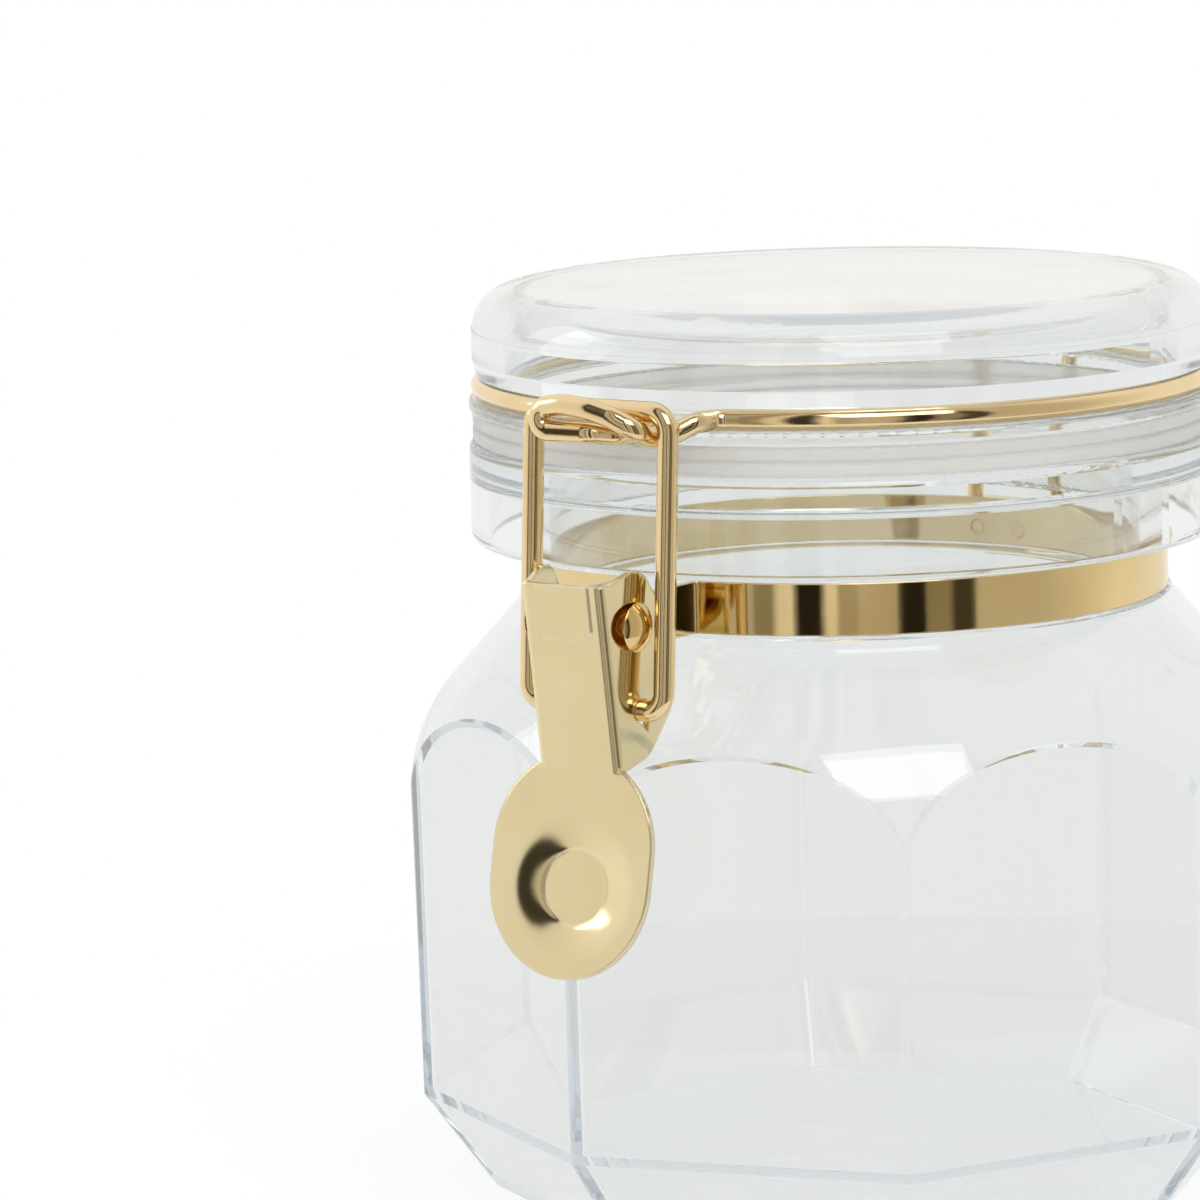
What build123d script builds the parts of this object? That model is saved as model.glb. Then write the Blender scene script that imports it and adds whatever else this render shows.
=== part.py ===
from build123d import *
from math import acos, atan2, cos, degrees, hypot, radians, sin, sqrt, tan
import os

os.makedirs("parts", exist_ok=True)

# Clip-top storage jar with a clear eight-sided body, in millimetres.
# The jar stands on height 0 and its axis is X = Y = 0. The latch is at -Y and the hinge at +Y.

# Driving sizes of the jar body
sides = 8
body_turn = -5.2
flat_reach = 49.72
side_draft = 0.64
corner_round = 1.4
foot_height = 12.0
foot_inset = 8.0
wall = 2.4
floor_thickness = 2.7
girth_radius = 54.27
girth_height = 48.9
shoulder_round = 22.0
shoulder_angle = 41.8
ledge_width = 1.2
ledge_height = 73.6
neck_radius = 38.7
neck_wall = 2.5
neck_round = 1.0
collar_radius = 45.7
collar_bottom = 81.0
rim_height = 93.2
skirt_wall = 2.2
skirt_edge_round = 0.5
collar_top_wall = 4.0
collar_round = 1.0
rim_round = 1.2
mouth_round = 0.8

# Driving sizes of the seal and the lid
seal_radius = 45.2
seal_inner_radius = 42.5
seal_height = 3.6
seal_groove = 0.35
seal_round = 0.5
lid_radius = 45.12
lid_height = 14.8
lid_top_round = 4.8
lid_top_wall = 2.8
lid_step = 0.15
lid_ceiling_round = 3.0
lip_slope_height = 2.0
groove_root = 0.6
flange_radius = 45.6
flange_height = 1.6
flange_round = 0.5
spigot_radius = 42.4
spigot_inner_radius = 41.2
spigot_drop = 2.4
spigot_round = 0.4

# Driving sizes of the wires and the sheet metal
wire_radius = 1.25
ring_radius = 44.04
sheet = 0.8
strap_height = 6.2
ear_half_gap = 3.9
rivet_shaft_radius = 1.3
rivet_head_radius = 2.9
rivet_head_height = 1.15
pivot_reach = 54.4
link_pin_reach = 53.2
link_pin_drop = 9.9
crossbar_reach = 50.8
crossbar_rise = 1.6
link_corner_round = 2.4
link_foot_round = 2.2
plate_half_width = 5.6
plate_bend_drop = 16.8
plate_top_reach = 59.9
plate_bend_reach = 57.0
plate_length = 22.0
plate_corner_round = 1.0
plate_top_round = 1.0
channel_depth = 18.0
cheek_splay = 10.0
cheek_top_reach = 53.4
cheek_top_rise = 7.0
cheek_top_round = 2.6
cheek_shoulder_reach = 50.8
cheek_shoulder_rise = 3.0
cheek_shoulder_round = 2.0
cheek_back_reach = 48.2
cheek_back_top = 5.3
cheek_back_bottom = 10.0
cheek_back_round = 5.0
cheek_foot_round = 2.5
cheek_heel_reach = 52.0
cheek_heel_drop = 15.4
cheek_heel_round = 3.5
hole_tail_reach = 0.9
hole_tail_drop = 2.6
tab_left = 3.35
tab_right = 3.9
tab_length = 6.4
tab_corner = 1.0
tab_rise = 0.15
paddle_tilt = 12.1
paddle_radius = 11.1
paddle_straight = 4.1
paddle_drop = 11.05
dish_across = 0.65
dish_drop = 13.5
dish_radius = 8.65
dish_floor_radius = 4.4
dish_depth = 0.72
hinge_reach = 47.35
hinge_half_width = 5.3
hinge_leg_offset = 7.5
hinge_foot_round = 2.0
hinge_knee_round = 2.5
hinge_rivet_offset = 3.3
hinge_rivet_drop = 1.0
hinge_shaft_radius = 0.95
hinge_head_radius = 1.5
hinge_head_height = 0.8
leaf_bend_round = 1.2
barrel_wrap = 285
ear_bend_round = 0.6

# Clearances
wire_slack = 0.1
pin_slack = 0.06
press_slack = 0.02
hook_slack = 0.08
strap_slack = 0.05
ring_slack = 0.15
side_slack = 0.3
flange_slack = 0.5
pin_end_slack = 0.5

# Heights and places that follow from the driving sizes
mouth_radius = neck_radius - neck_wall
ledge_radius = neck_radius + ledge_width
seal_top = rim_height + seal_height
lid_top = seal_top + lid_height
ring_height = seal_top + flange_height + wire_radius + ring_slack
strand = 2 * (wire_radius + wire_slack)
link_half_width = 3.5 * strand
crossbar_height = ring_height + crossbar_rise
strap_bottom = ledge_height + side_slack
strap_middle = strap_bottom + strap_height / 2
pivot_height = strap_middle
link_pin_height = pivot_height - link_pin_drop
hinge_height = strap_middle
ear_outer = ear_half_gap + sheet
plate_bend_height = pivot_height - plate_bend_drop
plate_top_height = plate_bend_height + plate_length
plate_tilt = degrees(atan2(plate_top_reach - plate_bend_reach, plate_length))
hinge_rivet_height = strap_middle - hinge_rivet_drop
pin_hole_radius = wire_radius + hook_slack
band_radius = neck_radius + strap_slack + sheet


def cheek_face(reach, height):
    """Half width over the lever's splayed cheeks, at a distance from the jar's axis and a height."""
    lean = tan(radians(plate_tilt))
    depth = (plate_bend_reach + (height - plate_bend_height) * lean - reach) * cos(radians(plate_tilt))
    return plate_half_width + depth * tan(radians(cheek_splay))


def arc_of(centre, radius, start, sweep_angle):
    """Points where an arc starts and ends, in its own plane."""
    ends = [radians(start), radians(start + sweep_angle)]
    return [(centre[0] + radius * cos(a), centre[1] + radius * sin(a)) for a in ends]


# Jar body: one clear moulding

def eight_sides(height, reach, round_radius):
    """Rounded octagon at a height, turned as the body stands to the latch."""
    with BuildSketch(Plane.XY.offset(height)) as outline:
        RegularPolygon(reach, sides, major_radius=False, rotation=body_turn)
        fillet(outline.vertices(), round_radius)
    return outline.sketch


def body_form(skin, bottom, throat_radius, top):
    """Bevelled foot and eight drafted sides, cut to the round dome of the shoulder, set in by skin."""
    foot_slope = foot_inset / foot_height
    side_slope = tan(radians(side_draft))
    skin_across = skin * hypot(1, foot_slope)
    foot_edge = foot_height + (skin_across - skin) / (foot_slope - side_slope)
    bottom_reach = flat_reach - foot_inset + bottom * foot_slope - skin_across
    edge_reach = flat_reach - skin + side_slope * (foot_edge - foot_height)
    top_reach = flat_reach - skin + side_slope * (top - foot_height)
    arc_centre = (girth_radius - shoulder_round, girth_height)
    girth_point, shoulder_point = arc_of(arc_centre, shoulder_round - skin, 0, shoulder_angle)
    cone_top = shoulder_point[1] + (shoulder_point[0] - throat_radius) / tan(radians(shoulder_angle))
    with BuildPart() as form:
        add(eight_sides(bottom, bottom_reach, corner_round))
        add(eight_sides(foot_edge, edge_reach, corner_round))
        loft(ruled=True)
        add(eight_sides(foot_edge, edge_reach, corner_round))
        add(eight_sides(top, top_reach, corner_round))
        loft(ruled=True)
        with BuildSketch(Plane.XZ):
            with BuildLine():
                Polyline((0, top), (0, bottom), (girth_point[0], bottom), girth_point)
                CenterArc(arc_centre, shoulder_round - skin, 0, shoulder_angle)
                Polyline(shoulder_point, (throat_radius, cone_top), (throat_radius, top), (0, top))
            make_face()
        revolve(axis=Axis.Z, mode=Mode.INTERSECT)
    return form.part


outer_form = body_form(0, 0, ledge_radius, ledge_height)
dome_cavity = body_form(wall, floor_thickness, mouth_radius, rim_height)

# The cavity narrows to the mouth under the ledge, however far in from the dome the neck stands
with BuildPart() as cavity:
    add(dome_cavity)
    with BuildSketch(Plane.XZ):
        with BuildLine():
            throat_bottom = ledge_height - wall
            throat_spread = 1.1 * wall
            throat_top = throat_bottom + throat_spread / tan(radians(shoulder_angle))
            Polyline(
                (mouth_radius + throat_spread, throat_bottom),
                (girth_radius, throat_bottom),
                (girth_radius, rim_height),
                (mouth_radius, rim_height),
                (mouth_radius, throat_top),
                (mouth_radius + throat_spread, throat_bottom),
            )
        make_face()
    revolve(axis=Axis.Z, mode=Mode.SUBTRACT)

with BuildPart() as jar_body:
    add(outer_form)
    with BuildSketch(Plane.XZ):
        with BuildLine():
            neck_foot = ledge_height - wall
            hollow_top = rim_height - collar_top_wall
            skirt_inner = collar_radius - skirt_wall
            FilletPolyline(
                (0, neck_foot),
                (neck_radius, neck_foot),
                (neck_radius, hollow_top),
                (skirt_inner, hollow_top),
                (skirt_inner, collar_bottom),
                (collar_radius, collar_bottom),
                (collar_radius, rim_height),
                (0, rim_height),
                radius=[0, neck_round, neck_round, skirt_edge_round, collar_round, rim_round],
            )
            Line((0, rim_height), (0, neck_foot))
        make_face()
    revolve(axis=Axis.Z)
    add(cavity.part, mode=Mode.SUBTRACT)
    mouth_edges = jar_body.edges().filter_by(GeomType.CIRCLE).group_by(Axis.Z)[-1]
    fillet(mouth_edges.sort_by(SortBy.RADIUS)[0], mouth_round)

jar_body.part.label = "jar_body"
export_step(jar_body.part, "parts/jar_body.step")


# Seal ring: soft ring stretched over the lid's spigot, with a small groove round its edge

with BuildPart() as seal_ring:
    with BuildSketch(Plane.XZ):
        with BuildLine():
            seal_middle = rim_height + seal_height / 2
            FilletPolyline(
                (seal_inner_radius, rim_height),
                (seal_radius, rim_height),
                (seal_radius, seal_middle - seal_groove),
                (seal_radius - seal_groove, seal_middle),
                (seal_radius, seal_middle + seal_groove),
                (seal_radius, seal_top),
                (seal_inner_radius, seal_top),
                radius=[seal_round, 0, 0, 0, seal_round],
            )
            Line((seal_inner_radius, seal_top), (seal_inner_radius, rim_height))
        make_face()
    revolve(axis=Axis.Z)

seal_ring.part.label = "seal_ring"
export_step(seal_ring.part, "parts/seal_ring.step")


# Lid: one clear moulding, with a wire groove above its flange and a short spigot inside the seal

with BuildPart() as lid:
    with BuildSketch(Plane.XZ):
        with BuildLine():
            lip_height = ring_height + wire_radius + wire_slack
            flange_top = seal_top + flange_height
            spigot_bottom = seal_top - spigot_drop
            ceiling = lid_top - lid_top_wall
            FilletPolyline(
                (0, lid_top),
                (lid_radius - lid_step, lid_top),
                (lid_radius - lid_step, lid_top - lid_top_round),
                (lid_radius, lid_top - lid_top_round),
                (lid_radius, lip_height + lip_slope_height),
                (ring_radius + groove_root, lip_height),
                (ring_radius + groove_root, flange_top),
                (flange_radius, flange_top),
                (flange_radius, seal_top),
                (spigot_radius, seal_top),
                (spigot_radius, spigot_bottom),
                (spigot_inner_radius, spigot_bottom),
                (spigot_inner_radius, ceiling),
                (0, ceiling),
                radius=[lid_top_round * 0.999, 0, 0, 0, 0, 0, flange_round, flange_round, 0]
                + [spigot_round, spigot_round, lid_ceiling_round],
            )
            Line((0, ceiling), (0, lid_top))
        make_face()
    revolve(axis=Axis.Z)
    with BuildSketch(Plane.XZ):
        with Locations((ring_radius, ring_height)):
            Circle(wire_radius + wire_slack)
            Rectangle(wall, 2 * (wire_radius + wire_slack), align=(Align.MIN, Align.CENTER))
    revolve(axis=Axis.Z, mode=Mode.SUBTRACT)

lid.part.label = "lid"
export_step(lid.part, "parts/lid.step")


# Lid wire: one round wire, hinged at the back, laid round the lid and bent into a twisted hook in front

def ring_point(across):
    """Point on the front half of the ring, at a distance to the right of the latch's middle."""
    return (across, -sqrt(ring_radius**2 - across**2), ring_height)


def beside_ring(start, across):
    """Point on the ring's tangent at start, further along to the right or left."""
    touch = -ring_point(start)[1]
    return (across, -(ring_radius**2 - start * across) / touch, ring_height)


def off_flange(across):
    """Point at the ring's height, just outside the lid's flange."""
    return (across, -(flange_radius + flange_slack), ring_height)


def near_crossbar(across, outward, upward):
    """Point placed from the middle of the link's crossbar, in strands of wire that lie side by side."""
    return (across * strand, -(crossbar_reach + outward * strand), crossbar_height + upward * strand)


hook_start = -0.2 * strand
hook_end = 5 * strand
hinge_end = 2 * side_slack
corner_distance = hypot(hinge_leg_offset, hinge_reach)
rear_angle = degrees(acos(ring_radius / corner_distance) + atan2(hinge_leg_offset, hinge_reach))
rear_touch = (ring_radius * sin(radians(rear_angle)), ring_radius * cos(radians(rear_angle)), ring_height)
start_angle = degrees(atan2(ring_point(hook_start)[1], hook_start))
end_angle = degrees(atan2(ring_point(hook_end)[1], hook_end))

with BuildPart() as lid_wire:
    with BuildLine() as lid_wire_path:
        FilletPolyline(
            (-hinge_end, hinge_reach, hinge_height),
            (-hinge_leg_offset, hinge_reach, hinge_height),
            (-hinge_leg_offset, hinge_reach, ring_height),
            (-rear_touch[0], rear_touch[1], ring_height),
            radius=[hinge_foot_round, hinge_knee_round],
        )
        with BuildLine(Plane.XY.offset(ring_height)):
            CenterArc((0, 0), ring_radius, 90 + rear_angle, start_angle + 360 - (90 + rear_angle))
            CenterArc((0, 0), ring_radius, end_angle, 90 - rear_angle - end_angle)
        FilletPolyline(
            ring_point(hook_start),
            beside_ring(hook_start, 1.33 * strand),
            off_flange(1.3 * strand),
            near_crossbar(1.22, -1.0, -1.11),
            near_crossbar(0.89, 0.22, -1.02),
            near_crossbar(0.07, 0.96, -0.91),
            near_crossbar(-2.3, 1.3, -0.87),
            near_crossbar(-2.37, 1.22, 0.08),
            near_crossbar(-1.11, 1.3, 0.3),
            near_crossbar(0.19, 1.33, 0.19),
            near_crossbar(1.44, 1.19, -0.17),
            near_crossbar(2.33, 0.93, -0.63),
            near_crossbar(2.41, 0.07, -1.08),
            near_crossbar(2.74, -0.81, -1.19),
            near_crossbar(3.22, -1.26, -0.89),
            off_flange(3.67 * strand),
            beside_ring(hook_end, 4 * strand),
            ring_point(hook_end),
            radius=[0.5 * strand, 0.35 * strand, 0.6 * strand, 0.7 * strand, 0.9 * strand]
            + [0.5 * strand, 0.5 * strand, 1.5 * strand, 1.5 * strand, 1.5 * strand]
            + [0.7 * strand, 0.7 * strand, 0.7 * strand, 0.7 * strand, 0.7 * strand, 0.9 * strand],
        )
        FilletPolyline(
            rear_touch,
            (hinge_leg_offset, hinge_reach, ring_height),
            (hinge_leg_offset, hinge_reach, hinge_height),
            (hinge_end, hinge_reach, hinge_height),
            radius=[hinge_knee_round, hinge_foot_round],
        )
    with BuildSketch(Plane(origin=(-hinge_end, hinge_reach, hinge_height), z_dir=(-1, 0, 0))):
        Circle(wire_radius)
    sweep(path=lid_wire_path.wire())

lid_wire.part.label = "lid_wire"
export_step(lid_wire.part, "parts/lid_wire.step")


# Neck strap: one strip bent round the neck, its ends turned outwards as two ears for the lever

ear_hole_radius = rivet_shaft_radius + press_slack
leaf_hole_radius = hinge_shaft_radius + strap_slack
ear_end = pivot_reach + strap_height / 2

with BuildPart() as neck_strap:
    with BuildSketch(Plane.XY.offset(strap_bottom)) as strap_plan:
        Circle(band_radius)
        Rectangle(2 * ear_outer, ear_end + strap_height, align=(Align.CENTER, Align.MAX))
        bends = strap_plan.vertices().group_by(Axis.Y)[1]
        fillet(bends, ear_bend_round)
        offset(amount=-sheet, mode=Mode.SUBTRACT)
    extrude(amount=strap_height)
    with BuildSketch(Plane.YZ):
        with Locations((band_radius + 1, strap_middle)):
            Rectangle(pivot_reach + band_radius + 1, strap_height, align=(Align.MAX, Align.CENTER))
        with Locations((-pivot_reach, strap_middle)):
            Circle(strap_height / 2)
    extrude(amount=band_radius + 1, both=True, mode=Mode.INTERSECT)
    with BuildSketch(Plane.YZ):
        with Locations((-pivot_reach, pivot_height)):
            Circle(ear_hole_radius)
    extrude(amount=2 * ear_outer, both=True, mode=Mode.SUBTRACT)
    with BuildSketch(Plane.XZ):
        with GridLocations(2 * hinge_rivet_offset, 1, 2, 1):
            with Locations((0, hinge_rivet_height)):
                Circle(leaf_hole_radius)
    extrude(amount=-band_radius - 1, mode=Mode.SUBTRACT)

neck_strap.part.label = "neck_strap"
export_step(neck_strap.part, "parts/neck_strap.step")


# Rivets: a plain shaft between two domed heads

def rivet_outline(shaft_start, shaft_end, shaft_radius, head_radius, head_height, far_head):
    """Half section of a rivet along the sketch's first axis, with a head at the end or at both ends."""
    dome_radius = (head_radius**2 + head_height**2) / (2 * head_height)
    RadiusArc((shaft_end, head_radius), (shaft_end + head_height, 0), dome_radius)
    Polyline((shaft_end, head_radius), (shaft_end, shaft_radius), (shaft_start, shaft_radius))
    if far_head:
        Line((shaft_start, shaft_radius), (shaft_start, head_radius))
        RadiusArc((shaft_start - head_height, 0), (shaft_start, head_radius), dome_radius)
        Line((shaft_start - head_height, 0), (shaft_end + head_height, 0))
    else:
        Polyline((shaft_start, shaft_radius), (shaft_start, 0), (shaft_end + head_height, 0))


# Lever rivet: through both ears and both cheeks

with BuildPart() as lever_rivet:
    head_seat = cheek_face(pivot_reach - rivet_head_radius, pivot_height) + strap_slack
    with BuildSketch(Plane((0, -pivot_reach, pivot_height), x_dir=(1, 0, 0), z_dir=(0, -1, 0))):
        with BuildLine():
            rivet_outline(
                -head_seat, head_seat, rivet_shaft_radius, rivet_head_radius, rivet_head_height, True
            )
        make_face()
    revolve(axis=Axis((0, -pivot_reach, pivot_height), (1, 0, 0)))

lever_rivet.part.label = "lever_rivet"
export_step(lever_rivet.part, "parts/lever_rivet.step")


# Hinge bracket: a leaf on the back of the strap, its end rolled into a barrel for the lid wire

barrel_round = wire_radius + wire_slack + sheet / 2
leaf_middle = band_radius + sheet / 2
tongue_height = hinge_height + barrel_round

with BuildPart() as hinge_bracket:
    with BuildSketch(Plane.YZ):
        with BuildLine():
            FilletPolyline(
                (leaf_middle, strap_bottom),
                (leaf_middle, tongue_height),
                (hinge_reach, tongue_height),
                radius=leaf_bend_round,
            )
            CenterArc((hinge_reach, hinge_height), barrel_round, 90, -barrel_wrap)
        trace(line_width=sheet)
    extrude(amount=hinge_half_width, both=True)
    with BuildSketch(Plane.XZ):
        with GridLocations(2 * hinge_rivet_offset, 1, 2, 1):
            with Locations((0, hinge_rivet_height)):
                Circle(leaf_hole_radius)
    extrude(amount=-leaf_middle - sheet, mode=Mode.SUBTRACT)

hinge_bracket.part.label = "hinge_bracket"
export_step(hinge_bracket.part, "parts/hinge_bracket.step")


# Hinge rivets: two small rivets through the leaf and the strap, flush on the neck's side

with BuildPart() as hinge_rivets:
    for side in (-1, 1):
        across = side * hinge_rivet_offset
        inner_end = neck_radius - across**2 / (2 * neck_radius) + 2 * strap_slack
        outer_end = leaf_middle + sheet / 2
        with BuildSketch(Plane((across, 0, hinge_rivet_height), x_dir=(0, 1, 0), z_dir=(1, 0, 0))):
            with BuildLine():
                rivet_outline(
                    inner_end, outer_end, hinge_shaft_radius, hinge_head_radius, hinge_head_height, False
                )
            make_face()
        revolve(axis=Axis((across, 0, hinge_rivet_height), (0, 1, 0)))

hinge_rivets.part.label = "hinge_rivets"
export_step(hinge_rivets.part, "parts/hinge_rivets.step")


# Lever: one pressed sheet, a channel that straddles the ears and a round dished thumb plate below it

bend_line = (0, -plate_bend_reach, plate_bend_height)
plate_lean = (sin(radians(plate_tilt)), cos(radians(plate_tilt)))
paddle_lean = (sin(radians(paddle_tilt)), cos(radians(paddle_tilt)))
channel_plane = Plane(bend_line, x_dir=(1, 0, 0), z_dir=(0, -plate_lean[0], plate_lean[1]))
front_plane = Plane(bend_line, x_dir=(1, 0, 0), z_dir=(0, -plate_lean[1], -plate_lean[0]))
paddle_plane = Plane(bend_line, x_dir=(1, 0, 0), z_dir=(0, -paddle_lean[1], paddle_lean[0]))
channel_spread = channel_depth * tan(radians(cheek_splay))
channel_length = plate_length / plate_lean[1]
shoulder_rise = sqrt(paddle_radius**2 - plate_half_width**2) - paddle_drop + paddle_straight / 2

with BuildPart() as lever:
    # Channel: front plate and two cheeks, bent from the flat
    with BuildSketch(channel_plane) as channel:
        with BuildLine():
            Polyline(
                (-plate_half_width, 0),
                (plate_half_width, 0),
                (plate_half_width + channel_spread, channel_depth),
                (-plate_half_width - channel_spread, channel_depth),
                (-plate_half_width, 0),
            )
        make_face()
        fillet(channel.vertices().group_by(Axis.Y)[0], plate_corner_round)
        offset(amount=-sheet, mode=Mode.SUBTRACT)
    extrude(amount=channel_length + 2 * sheet)
    extrude(channel.sketch, amount=-2 * sheet)

    # Tab: outline of the pressed stiffener on the upper part of the front plate
    with BuildSketch(front_plane.offset(-sheet / 2)) as tab:
        with Locations(((tab_right - tab_left) / 2, channel_length)):
            Rectangle(tab_left + tab_right, tab_length, align=(Align.CENTER, Align.MAX))
        chamfer(tab.vertices().group_by(Axis.Y)[0].sort_by(Axis.X)[-1], tab_corner)
    extrude(amount=sheet / 2 + tab_rise)

    # Side outline of the channel
    with BuildSketch(Plane.YZ):
        with BuildLine():
            channel_foot = plate_bend_height - side_slack
            front_clear = plate_top_reach + 3 * sheet
            FilletPolyline(
                (-front_clear, plate_top_height),
                (-plate_top_reach + 2 * sheet, plate_top_height),
                (-cheek_top_reach, pivot_height + cheek_top_rise),
                (-cheek_shoulder_reach, pivot_height + cheek_shoulder_rise),
                (-cheek_back_reach, pivot_height - cheek_back_top),
                (-cheek_back_reach, pivot_height - cheek_back_bottom),
                (-cheek_heel_reach, pivot_height - cheek_heel_drop),
                (-plate_bend_reach, channel_foot),
                (-front_clear, channel_foot),
                radius=[plate_top_round, cheek_top_round, cheek_shoulder_round]
                + [cheek_back_round, cheek_foot_round, cheek_heel_round, 0],
            )
            Line((-front_clear, channel_foot), (-front_clear, plate_top_height))
        make_face()
    extrude(amount=channel_depth, both=True, mode=Mode.INTERSECT)

    # Thumb plate: round ends and short straight sides, as wide as the channel where they meet
    with BuildSketch(paddle_plane):
        with Locations((0, -paddle_drop)):
            SlotCenterToCenter(paddle_straight, 2 * paddle_radius, rotation=90)
        with Locations((0, shoulder_rise)):
            Rectangle(2 * paddle_radius, paddle_radius, align=(Align.CENTER, Align.MIN), mode=Mode.SUBTRACT)
    extrude(amount=-sheet)

    # Dish of the thumb plate, pressed inwards
    with BuildSketch(paddle_plane):
        with Locations((dish_across, -dish_drop)):
            Circle(dish_radius)
    with BuildSketch(paddle_plane.offset(-dish_depth)):
        with Locations((dish_across, -dish_drop)):
            Circle(dish_floor_radius)
    loft(mode=Mode.SUBTRACT)

    # Holes for the rivet and for the link's pins, the lower ones drawn out to a point
    with BuildSketch(Plane.YZ):
        with Locations((-pivot_reach, pivot_height)):
            Circle(rivet_shaft_radius + pin_slack)
        with Locations((-link_pin_reach, link_pin_height)):
            Circle(pin_hole_radius)
        with BuildLine():
            Polyline(
                (-link_pin_reach - 0.9 * pin_hole_radius, link_pin_height - 0.3 * pin_hole_radius),
                (-link_pin_reach + hole_tail_reach, link_pin_height - hole_tail_drop),
                (-link_pin_reach + 0.94 * pin_hole_radius, link_pin_height),
                (-link_pin_reach - 0.9 * pin_hole_radius, link_pin_height - 0.3 * pin_hole_radius),
            )
        make_face()
    extrude(amount=channel_depth, both=True, mode=Mode.SUBTRACT)

lever.part.label = "lever"
export_step(lever.part, "parts/lever.step")


# Link wire: a wire loop from the lever's cheeks up to the lid wire's hook, its ends turned in as pins

pin_end = cheek_face(link_pin_reach, link_pin_height) - sheet - pin_end_slack

with BuildPart() as link_wire:
    with BuildLine() as link_path:
        FilletPolyline(
            (-pin_end, -link_pin_reach, link_pin_height),
            (-link_half_width, -link_pin_reach, link_pin_height),
            (-link_half_width, -crossbar_reach, crossbar_height),
            (link_half_width, -crossbar_reach, crossbar_height),
            (link_half_width, -link_pin_reach, link_pin_height),
            (pin_end, -link_pin_reach, link_pin_height),
            radius=[link_foot_round, link_corner_round, link_corner_round, link_foot_round],
        )
    with BuildSketch(Plane(origin=(-pin_end, -link_pin_reach, link_pin_height), z_dir=(-1, 0, 0))):
        Circle(wire_radius)
    sweep(path=link_path.wire())

link_wire.part.label = "link_wire"
export_step(link_wire.part, "parts/link_wire.step")
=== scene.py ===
from math import cos, pi, radians, sin

import bmesh
import bpy
from mathutils import Matrix, Vector


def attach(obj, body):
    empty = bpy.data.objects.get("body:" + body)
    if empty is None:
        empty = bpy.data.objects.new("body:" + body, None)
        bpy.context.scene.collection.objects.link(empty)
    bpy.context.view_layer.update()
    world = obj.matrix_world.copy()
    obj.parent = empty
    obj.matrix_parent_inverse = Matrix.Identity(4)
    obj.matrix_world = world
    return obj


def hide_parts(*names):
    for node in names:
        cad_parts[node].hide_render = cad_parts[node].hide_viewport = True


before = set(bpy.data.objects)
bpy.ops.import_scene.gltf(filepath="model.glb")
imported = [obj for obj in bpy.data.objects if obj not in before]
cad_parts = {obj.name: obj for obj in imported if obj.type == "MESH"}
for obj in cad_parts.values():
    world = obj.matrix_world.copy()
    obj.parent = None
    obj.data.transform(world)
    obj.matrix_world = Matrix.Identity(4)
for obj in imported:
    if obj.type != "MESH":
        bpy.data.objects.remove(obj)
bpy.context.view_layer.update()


# Jar body. One injection moulding in clear, slightly cool styrene: eight flat sides under a domed shoulder,
# a round neck, and a hollow collar that hangs outside the neck. The skin is glossy, with faint flow waves
# from the mould, a haze of fine rub marks, and scuffed corners where the jar has been set down.

full_height = 0.1116
wave_stretch = 0.45
rub_scale = 60.0
polished_skin = 0.012
rubbed_skin = 0.06
scratch_scale = 700.0
scuff_reach = 0.0012
longest_path = 11.5
light_kept = (0.965, 0.97, 0.97, 1.0)
wall_colour = (0.35, 0.47, 0.57, 1.0)
wall_density = 12.0
black = (0.0, 0.0, 0.0, 1.0)


def new_finish(name):
    """An empty finish: its material, nodes and links, and the place on the piece that patterns follow."""
    made = bpy.data.materials.new(name)
    made.use_nodes = True
    nodes = made.node_tree.nodes
    place = nodes.new("ShaderNodeTexCoord").outputs["Object"]
    return made, nodes, made.node_tree.links, place


def cloudy(nodes, links, place, scale, detail):
    """A cloudy pattern of light and dark over a piece."""
    pattern = nodes.new("ShaderNodeTexNoise")
    pattern.inputs["Scale"].default_value = scale
    pattern.inputs["Detail"].default_value = detail
    links.new(place, pattern.inputs["Vector"])
    return pattern


def stretched(nodes, links, value, from_ends, to_ends):
    """A value brought from one range to another, and kept between its ends."""
    ranged = nodes.new("ShaderNodeMapRange")
    ranged.inputs["From Min"].default_value = from_ends[0]
    ranged.inputs["From Max"].default_value = from_ends[1]
    ranged.inputs["To Min"].default_value = to_ends[0]
    ranged.inputs["To Max"].default_value = to_ends[1]
    links.new(value, ranged.inputs["Value"])
    return ranged.outputs["Result"]


def worked_out(nodes, links, operation, *values):
    """A sum, a product or the like, of plain numbers and of what other nodes give."""
    sum_node = nodes.new("ShaderNodeMath")
    sum_node.operation = operation
    for slot, value in enumerate(values):
        if isinstance(value, bpy.types.NodeSocket):
            links.new(value, sum_node.inputs[slot])
        else:
            sum_node.inputs[slot].default_value = value
    return sum_node.outputs["Value"]


def blended(nodes, links, share, first, second):
    """A mix of two colours, by a share from 0 to 1."""
    mix = nodes.new("ShaderNodeMix")
    mix.data_type = "RGBA"
    mix.inputs[6].default_value = (*first, 1.0)
    mix.inputs[7].default_value = (*second, 1.0)
    links.new(share, mix.inputs[0])
    return mix


def bumped(nodes, links, heights, strength, reach):
    """A skin with the fine heights of a pattern."""
    skin = nodes.new("ShaderNodeBump")
    skin.inputs["Strength"].default_value = strength
    skin.inputs["Distance"].default_value = reach
    links.new(heights, skin.inputs["Height"])
    return skin


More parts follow.
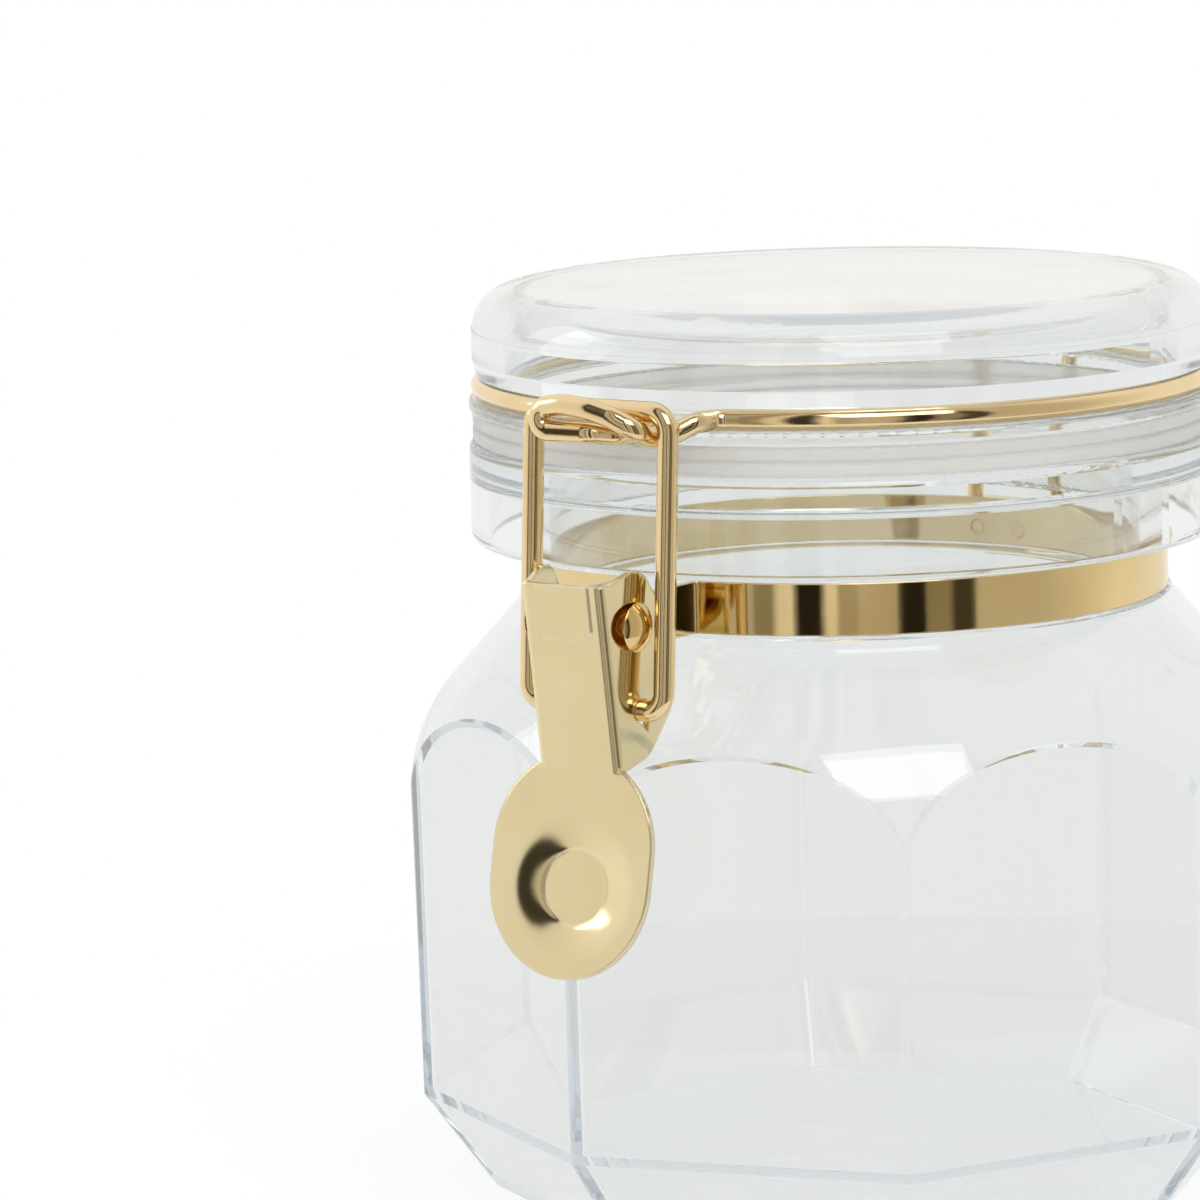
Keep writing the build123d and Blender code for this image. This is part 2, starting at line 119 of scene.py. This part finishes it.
def clear_moulding(name, tint, bend, wave_size, wave_height, scuffed_rims, scuff):
    """Clear moulded plastic, with waves in its skin, faint rub marks and scuffed rims at some heights."""
    made, nodes, links, place = new_finish(name)
    plastic = nodes["Principled BSDF"]
    plastic.inputs["Transmission Weight"].default_value = 1.0
    plastic.inputs["IOR"].default_value = bend

    # Flow waves: wide and low, drawn out along the height of the jar
    along = nodes.new("ShaderNodeMapping")
    along.inputs["Scale"].default_value = (1.0, 1.0, wave_stretch)
    links.new(place, along.inputs["Vector"])
    waves = cloudy(nodes, links, along.outputs["Vector"], scale=1.0 / wave_size, detail=1.5).outputs["Fac"]
    skin = bumped(nodes, links, waves, strength=1.0, reach=wave_height)
    links.new(skin.outputs["Normal"], plastic.inputs["Normal"])

    # Rub marks: patches of a slightly duller skin
    rubs = cloudy(nodes, links, place, scale=rub_scale, detail=6.0)
    rubs.inputs["Roughness"].default_value = 0.65
    haze = stretched(
        nodes, links, rubs.outputs["Fac"], from_ends=(0.45, 0.8), to_ends=(polished_skin, rubbed_skin)
    )

    # Scuffs: fine scratches on the rims that the jar rests and knocks on, by their heights
    heights = nodes.new("ShaderNodeSeparateXYZ")
    links.new(place, heights.inputs["Vector"])
    share = worked_out(nodes, links, "DIVIDE", heights.outputs["Z"], full_height)
    rims = nodes.new("ShaderNodeValToRGB")
    for end in rims.color_ramp.elements:
        end.color = black
    for rim in scuffed_rims:
        for at, level in ((rim - scuff_reach, 0.0), (rim, 1.0), (rim + scuff_reach, 0.0)):
            stop = rims.color_ramp.elements.new(min(max(at / full_height, 0.0), 1.0))
            stop.color = (level, level, level, 1.0)
    links.new(share, rims.inputs["Fac"])
    scratches = cloudy(nodes, links, place, scale=scratch_scale, detail=3.0).outputs["Fac"]
    scuffed = worked_out(nodes, links, "MULTIPLY", rims.outputs["Color"], scratches)
    dulled = worked_out(nodes, links, "MULTIPLY_ADD", scuffed, scuff, haze)
    links.new(dulled, plastic.inputs["Roughness"])

    # Colour: the tint is a little uneven, and a touch greyer where the flow waves stand high
    shade = stretched(nodes, links, waves, from_ends=(0.3, 0.7), to_ends=(0.0, 1.0))
    greyer = (tint[0] * 0.985, tint[1] * 0.99, tint[2] * 0.995)
    colours = blended(nodes, links, shade, tint, greyer)
    links.new(colours.outputs[2], plastic.inputs["Base Color"])

    # Light from the lamps passes through the clear plastic to what stands behind it, and light that has
    # bounced to and fro inside the wall comes out again instead of dying there
    path = nodes.new("ShaderNodeLightPath").outputs
    from_lamps = worked_out(nodes, links, "MAXIMUM", path["Is Shadow Ray"], path["Is Diffuse Ray"])
    trapped = worked_out(nodes, links, "GREATER_THAN", path["Ray Depth"], longest_path)
    passes = worked_out(nodes, links, "MAXIMUM", from_lamps, trapped)
    let_through = nodes.new("ShaderNodeBsdfTransparent")
    let_through.inputs["Color"].default_value = light_kept
    choose = nodes.new("ShaderNodeMixShader")
    links.new(passes, choose.inputs["Fac"])
    links.new(plastic.outputs["BSDF"], choose.inputs[1])
    links.new(let_through.outputs["BSDF"], choose.inputs[2])
    links.new(choose.outputs["Shader"], nodes["Material Output"].inputs["Surface"])

    # Depth of colour: seen along a wall, the plastic is a cool grey
    depth = nodes.new("ShaderNodeVolumeAbsorption")
    depth.inputs["Color"].default_value = wall_colour
    depth.inputs["Density"].default_value = wall_density
    links.new(depth.outputs["Volume"], nodes["Material Output"].inputs["Volume"])
    return made


body_plastic = clear_moulding(
    "body_plastic",
    tint=(0.95, 0.955, 0.945),
    bend=1.5,
    wave_size=0.030,
    wave_height=0.00006,
    scuffed_rims=(0.0, 0.0120, 0.0932),
    scuff=0.16,
)
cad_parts["jar_body"].material_slots[0].material = body_plastic


# Seal ring. A moulded ring of milky, half see-through silicone, stretched over the lid's spigot and pressed
# between lid and collar. Its skin is satin, and it picks up a little dust.

clean_silicone = (0.97, 0.96, 0.935)
dusty_silicone = (0.93, 0.915, 0.88)

seal_silicone, seal_nodes, seal_links, seal_place = new_finish("seal_silicone")
silicone = seal_nodes["Principled BSDF"]
silicone.inputs["IOR"].default_value = 1.41
silicone.inputs["Transmission Weight"].default_value = 0.65
dust = cloudy(seal_nodes, seal_links, seal_place, scale=180.0, detail=5.0).outputs["Fac"]
milky = blended(seal_nodes, seal_links, dust, clean_silicone, dusty_silicone)
seal_links.new(milky.outputs[2], silicone.inputs["Base Color"])
satin = stretched(seal_nodes, seal_links, dust, from_ends=(0.0, 1.0), to_ends=(0.32, 0.52))
seal_links.new(satin, silicone.inputs["Roughness"])
grain = bumped(seal_nodes, seal_links, dust, strength=0.25, reach=0.0001)
seal_links.new(grain.outputs["Normal"], silicone.inputs["Normal"])
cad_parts["seal_ring"].material_slots[0].material = seal_silicone


# Lid. A second clear moulding, turned and thick: rounded top edge, straight wall, a groove that holds the
# wire and a thin flange on the seal. Same plastic as the body, with a finer wave on its flat top.

lid_plastic = clear_moulding(
    "lid_plastic",
    tint=(0.955, 0.96, 0.95),
    bend=1.5,
    wave_size=0.026,
    wave_height=0.00005,
    scuffed_rims=(0.0970, 0.1102),
    scuff=0.12,
)
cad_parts["lid"].material_slots[0].material = lid_plastic


# Lid wire. One length of drawn steel wire in bright champagne-gold plating, bent round the lid, hooked under
# itself in front and turned into the hinge's barrel behind. Drawing leaves faint lines along the wire.

patch_scale = 90.0
rubbed_gold = (0.90, 0.82, 0.66)
edge_wear = 0.7
edge_dulling = 0.12


def gold_plating(name, bright, deep, sheen_low, sheen_high, mark_scale, mark_height, edge_round):
    """Polished gold-coloured plating on steel, with fine marks, patchy gloss and brighter worn edges."""
    made, nodes, links, place = new_finish(name)
    plating = nodes["Principled BSDF"]
    plating.inputs["Metallic"].default_value = 1.0

    # Colour of the plating, a little deeper in patches
    patches = cloudy(nodes, links, place, scale=patch_scale, detail=3.0).outputs["Fac"]
    spread = stretched(nodes, links, patches, from_ends=(0.35, 0.7), to_ends=(0.0, 1.0))
    plated = blended(nodes, links, spread, bright, deep)

    # Edges: rubbed brighter and a little duller than the flats
    rounded = nodes.new("ShaderNodeBevel")
    rounded.samples = 6
    rounded.inputs["Radius"].default_value = edge_round
    own = nodes.new("ShaderNodeNewGeometry")
    turned = nodes.new("ShaderNodeVectorMath")
    turned.operation = "DOT_PRODUCT"
    links.new(rounded.outputs["Normal"], turned.inputs[0])
    links.new(own.outputs["Normal"], turned.inputs[1])
    worn = stretched(nodes, links, turned.outputs["Value"], from_ends=(0.97, 0.80), to_ends=(0.0, edge_wear))
    rubbed = blended(nodes, links, worn, bright, rubbed_gold)
    links.new(plated.outputs[2], rubbed.inputs[6])
    links.new(rubbed.outputs[2], plating.inputs["Base Color"])

    # Gloss: even from near, slightly patchy, duller on the worn edges
    gloss = stretched(nodes, links, patches, from_ends=(0.3, 0.75), to_ends=(sheen_low, sheen_high))
    duller = worked_out(nodes, links, "MULTIPLY_ADD", worn, edge_dulling, gloss)
    links.new(duller, plating.inputs["Roughness"])

    # Fine marks in the surface, over the softened edges
    marks = cloudy(nodes, links, place, scale=mark_scale, detail=4.0).outputs["Fac"]
    skin = bumped(nodes, links, marks, strength=1.0, reach=mark_height)
    links.new(rounded.outputs["Normal"], skin.inputs["Normal"])
    links.new(skin.outputs["Normal"], plating.inputs["Normal"])
    return made


wire_gold = gold_plating(
    "wire_gold",
    bright=(0.87, 0.69, 0.41),
    deep=(0.81, 0.62, 0.34),
    sheen_low=0.07,
    sheen_high=0.14,
    mark_scale=900.0,
    mark_height=0.000004,
    edge_round=0.0002,
)
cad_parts["lid_wire"].material_slots[0].material = wire_gold


# Neck strap, hinge bracket and rivets. The strap and the bracket are blanked from plated steel sheet and
# polished like a mirror. The rivets are turned and set with a domed head.

strap_gold = gold_plating(
    "strap_gold",
    bright=(0.78, 0.62, 0.33),
    deep=(0.73, 0.56, 0.27),
    sheen_low=0.035,
    sheen_high=0.08,
    mark_scale=260.0,
    mark_height=0.000006,
    edge_round=0.0003,
)
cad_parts["neck_strap"].material_slots[0].material = strap_gold
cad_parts["hinge_bracket"].material_slots[0].material = strap_gold

rivet_gold = gold_plating(
    "rivet_gold",
    bright=(0.80, 0.60, 0.27),
    deep=(0.75, 0.54, 0.22),
    sheen_low=0.05,
    sheen_high=0.11,
    mark_scale=600.0,
    mark_height=0.000004,
    edge_round=0.0002,
)
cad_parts["lever_rivet"].material_slots[0].material = rivet_gold
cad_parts["hinge_rivets"].material_slots[0].material = rivet_gold


# Lever. One blank of plated sheet, pressed into a channel above and a round thumb plate below. The dish of
# the thumb plate is drawn in by a soft punch: shallow at its rim, steeper towards its flat floor. The
# presses leave the sheet a little wavy, so its reflections run soft.

lever_gold = gold_plating(
    "lever_gold",
    bright=(0.84, 0.73, 0.46),
    deep=(0.80, 0.69, 0.42),
    sheen_low=0.06,
    sheen_high=0.13,
    mark_scale=120.0,
    mark_height=0.000012,
    edge_round=0.0004,
)
dish_centre = Vector((0.00065, -0.05983, 0.04700))
dish_tilt = radians(12.1)
dish_rim = 0.00865
dish_floor = 0.0044
dish_fall = 0.00072
dish_draw = 1.5
plate_face = Vector((0.0, -cos(dish_tilt), sin(dish_tilt)))
same_point = 0.000001
on_slope = 0.00001
on_circle = 0.00002
least_run = 0.0003
sharp_turn = radians(24.0)


def dish_place(point):
    """How far a point lies from the dish's axis, and how deep under the thumb plate's face."""
    away = point - dish_centre
    under = -away.dot(plate_face)
    return (away + under * plate_face).length, under


def on_dish(point):
    """Whether a point lies on the straight slope that the punch started from."""
    out, under = dish_place(point)
    slope = dish_fall * (dish_rim - out) / (dish_rim - dish_floor)
    return dish_floor - on_circle < out < dish_rim + on_circle and abs(under - slope) < on_slope


# The edges that run down the slope are cut in four, and their points sink to the punch's curve
pressed = bmesh.new()
pressed.from_mesh(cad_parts["lever"].data)
bmesh.ops.remove_doubles(pressed, verts=pressed.verts, dist=same_point)
slopes = [
    edge
    for edge in pressed.edges
    if all(on_dish(corner.co) for corner in edge.verts)
    and abs(dish_place(edge.verts[0].co)[0] - dish_place(edge.verts[1].co)[0]) > least_run
]
bmesh.ops.subdivide_edges(pressed, edges=slopes, cuts=3)
for corner in pressed.verts:
    if on_dish(corner.co):
        out, under = dish_place(corner.co)
        share = min(max((dish_rim - out) / (dish_rim - dish_floor), 0.0), 1.0)
        corner.co += plate_face * (under - dish_fall * share**dish_draw)

# The sheet is smooth but for its cut edges and the ring round the dish's floor
for face in pressed.faces:
    face.smooth = True
for edge in pressed.edges:
    turned_far = edge.calc_face_angle(0.0) > sharp_turn
    round_floor = all(abs(dish_place(corner.co)[0] - dish_floor) < on_circle for corner in edge.verts)
    edge.smooth = not (turned_far or round_floor)
pressed_data = bpy.data.meshes.new("pressed_lever")
pressed.to_mesh(pressed_data)
pressed.free()
pressed_data.materials.append(lever_gold)
pressed_lever = bpy.data.objects.new("pressed_lever", pressed_data)
bpy.context.collection.objects.link(pressed_lever)
flats = pressed_lever.modifiers.new("flats", "WEIGHTED_NORMAL")
flats.mode = "FACE_AREA"
flats.weight = 100
flats.keep_sharp = True
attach(pressed_lever, "lever")
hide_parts("lever")


# Link wire. The loop between the lever and the lid wire's hook: a crossbar that lies in the hook, two legs,
# and two ends turned in as pins for the lever's lower holes. It is bent from the same wire as the lid's.

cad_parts["link_wire"].material_slots[0].material = wire_gold


# Studio. A plain white floor, a soft lamp overhead and one at the left, and pale surroundings. Polished
# metal and clear plastic show those surroundings, so they have the darker gaps that lie between soft boxes.

floor_radius = 0.15
paper_white = (0.93, 0.93, 0.93, 1.0)
floor_glow = 0.94
glow_to_camera = 0.14
glow_share = 0.6

floor_mesh = bmesh.new()
bmesh.ops.create_circle(floor_mesh, cap_ends=True, segments=96, radius=floor_radius)
floor_data = bpy.data.meshes.new("floor")
floor_mesh.to_mesh(floor_data)
floor_mesh.free()
floor = bpy.data.objects.new("floor", floor_data)
bpy.context.collection.objects.link(floor)
floor_paint = bpy.data.materials.new("floor_paint")
floor_paint.use_nodes = True
floor_nodes = floor_paint.node_tree.nodes
floor_links = floor_paint.node_tree.links
paper = floor_nodes["Principled BSDF"]
paper.inputs["Base Color"].default_value = paper_white
paper.inputs["Roughness"].default_value = 0.9
paper.inputs["Specular IOR Level"].default_value = 0.0

# Where it is seen, the floor is the white ground with the object's shadow on it
seen = floor_nodes.new("ShaderNodeLightPath").outputs
white = floor_nodes.new("ShaderNodeEmission")
whiteness = worked_out(
    floor_nodes, floor_links, "MULTIPLY_ADD", seen["Is Camera Ray"], glow_to_camera, floor_glow
)
floor_links.new(whiteness, white.inputs["Strength"])
mirrored = worked_out(floor_nodes, floor_links, "MAXIMUM", seen["Is Camera Ray"], seen["Is Glossy Ray"])
seen_at_all = worked_out(floor_nodes, floor_links, "MAXIMUM", mirrored, seen["Is Transmission Ray"])
whitened = worked_out(floor_nodes, floor_links, "MULTIPLY", seen_at_all, glow_share)
floor_mix = floor_nodes.new("ShaderNodeMixShader")
floor_links.new(whitened, floor_mix.inputs["Fac"])
floor_links.new(paper.outputs["BSDF"], floor_mix.inputs[1])
floor_links.new(white.outputs["Emission"], floor_mix.inputs[2])
floor_links.new(floor_mix.outputs["Shader"], floor_nodes["Material Output"].inputs["Surface"])
floor_data.materials.append(floor_paint)

jar_middle = Vector((0.0, 0.0, 0.06))


def soft_lamp(name, place, size, power):
    """A square soft box at a place, turned to face the middle of the jar."""
    data = bpy.data.lights.new(name, "AREA")
    data.shape = "SQUARE"
    data.size = size
    data.energy = power
    lamp = bpy.data.objects.new(name, data)
    lamp.location = place
    lamp.rotation_euler = (jar_middle - Vector(place)).to_track_quat("-Z", "Y").to_euler()
    bpy.context.collection.objects.link(lamp)


soft_lamp("lamp_above", place=(0.45, -0.37, 0.68), size=0.46, power=1.8)
soft_lamp("lamp_left", place=(-0.75, -0.35, 0.45), size=0.45, power=0.9)

pure_white = (1.0, 1.0, 1.0, 1.0)
room_light = 0.8
room_colour = (0.50, 0.49, 0.47, 1.0)
behind_colour = (0.93, 0.935, 0.93, 1.0)

world = bpy.data.worlds.new("studio")
bpy.context.scene.world = world
world.use_nodes = True
sky = world.node_tree.nodes
sky_links = world.node_tree.links
plain_light = sky["Background"]
plain_light.inputs["Color"].default_value = pure_white
plain_light.inputs["Strength"].default_value = room_light
white_ground = sky.new("ShaderNodeBackground")
white_ground.inputs["Color"].default_value = pure_white

# Surroundings, by the bearing of the direction that a reflection comes from, as a share of a turn: 0 at -Y,
# a quarter at -X, a half at +Y and three quarters at +X. The darker gaps are warmer than the soft boxes
way = sky.new("ShaderNodeTexCoord")
parts = sky.new("ShaderNodeSeparateXYZ")
sky_links.new(way.outputs["Generated"], parts.inputs["Vector"])
bearing = worked_out(sky, sky_links, "ARCTAN2", parts.outputs["X"], parts.outputs["Y"])
turn = stretched(sky, sky_links, bearing, from_ends=(-pi, pi), to_ends=(0.0, 1.0))
panels = sky.new("ShaderNodeValToRGB")
for end in panels.color_ramp.elements:
    end.color = room_colour
for at, level in (
    (0.030, 0.60),
    (0.038, 0.04),
    (0.062, 0.05),
    (0.072, 0.80),
    (0.150, 0.97),
    (0.600, 0.97),
    (0.700, 0.60),
    (0.777, 0.58),
    (0.782, 0.06),
    (0.802, 0.06),
    (0.806, 0.30),
    (0.829, 0.28),
    (0.831, 0.02),
    (0.855, 0.02),
    (0.858, 0.52),
    (0.894, 0.58),
    (0.898, 0.45),
    (0.915, 0.45),
    (0.917, 0.85),
    (0.928, 0.85),
    (0.931, 0.02),
    (0.956, 0.02),
    (0.959, 0.85),
    (0.975, 0.80),
    (0.979, 0.30),
    (0.996, 0.30),
):
    stop = panels.color_ramp.elements.new(at)
    stop.color = (level, level * (0.86 + 0.12 * level), level * (0.60 + 0.35 * level), 1.0)
sky_links.new(turn, panels.inputs["Fac"])
shown = sky.new("ShaderNodeBackground")
sky_links.new(panels.outputs["Color"], shown.inputs["Color"])

# Through the clear plastic shows the white ground, a touch greyer than pure white
behind = sky.new("ShaderNodeBackground")
behind.inputs["Color"].default_value = behind_colour

# What a surface is lit by, what it mirrors, what shows through it, and what the camera sees of the ground
ray = sky.new("ShaderNodeLightPath").outputs
seen_so_far = plain_light.outputs["Background"]
for kind, backdrop in (
    ("Is Glossy Ray", shown),
    ("Is Transmission Ray", behind),
    ("Is Camera Ray", white_ground),
):
    layer = sky.new("ShaderNodeMixShader")
    sky_links.new(ray[kind], layer.inputs["Fac"])
    sky_links.new(seen_so_far, layer.inputs[1])
    sky_links.new(backdrop.outputs["Background"], layer.inputs[2])
    seen_so_far = layer.outputs["Shader"]
sky_links.new(seen_so_far, sky["World Output"].inputs["Surface"])


# Camera. It stands a little above the lid and to the right of the latch, and looks through a long lens. Light
# needs many bounces to find its way through the clear walls.

camera_place = (0.3731, -0.57453, 0.1807)
right = Vector((0.81594, 0.57756, -0.02578))
up = Vector((-0.06932, 0.14202, 0.98743))
back = right.cross(up)
most_bounces = 24
most_see_through = 32

camera_data = bpy.data.cameras.new("camera")
camera_data.lens = 169.0
camera_data.sensor_width = 36.0
camera = bpy.data.objects.new("camera", camera_data)
facing = Matrix((right, up, back)).transposed().to_4x4()
camera.matrix_world = Matrix.Translation(camera_place) @ facing
bpy.context.collection.objects.link(camera)
scene = bpy.context.scene
scene.camera = camera
scene.view_settings.view_transform = "Standard"
scene.cycles.max_bounces = most_bounces
scene.cycles.transmission_bounces = most_bounces
scene.cycles.glossy_bounces = most_bounces
scene.cycles.transparent_max_bounces = most_see_through
